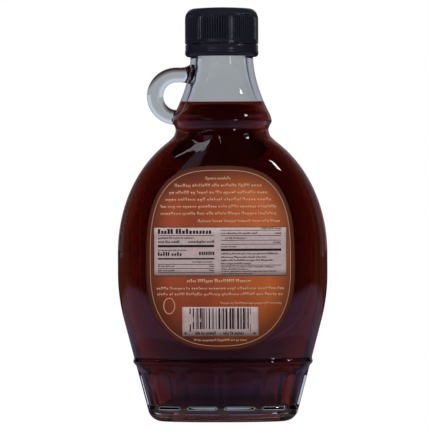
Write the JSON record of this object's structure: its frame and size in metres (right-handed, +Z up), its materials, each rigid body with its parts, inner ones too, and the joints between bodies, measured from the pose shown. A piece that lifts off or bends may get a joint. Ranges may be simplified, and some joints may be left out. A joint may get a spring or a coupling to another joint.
{
  "type": "maple syrup jug",
  "caption": "Flat oval glass flask of syrup with a small ring handle at the neck, a ribbed screw cap with tamper band and an oval label on each broad face.",
  "frame": {"origin": "centre of the footprint, on the plane the base stands on", "axes": "+Z up through the cap; +X across the broad face, with the ring handle on the -X side; +Y through the thin way, so that the shown back label faces -Y"},
  "size_m": [0.087, 0.045, 0.1715],
  "materials": {
    "glass": "clear smooth moulded glass with a faint cool grey tint",
    "syrup": "clear dark red-brown syrup, amber only where it is thin",
    "cap_plastic": "glossy black moulded plastic",
    "label_paper": "satin printed paper, mottled orange-brown with a dark brown rim"
  },
  "bodies": {
    "root": {"bottle": "glass", "syrup": "syrup", "cap": "cap_plastic", "tamper_band": "cap_plastic", "label_back": "label_paper", "label_front": "label_paper"}
  },
  "joints": []
}
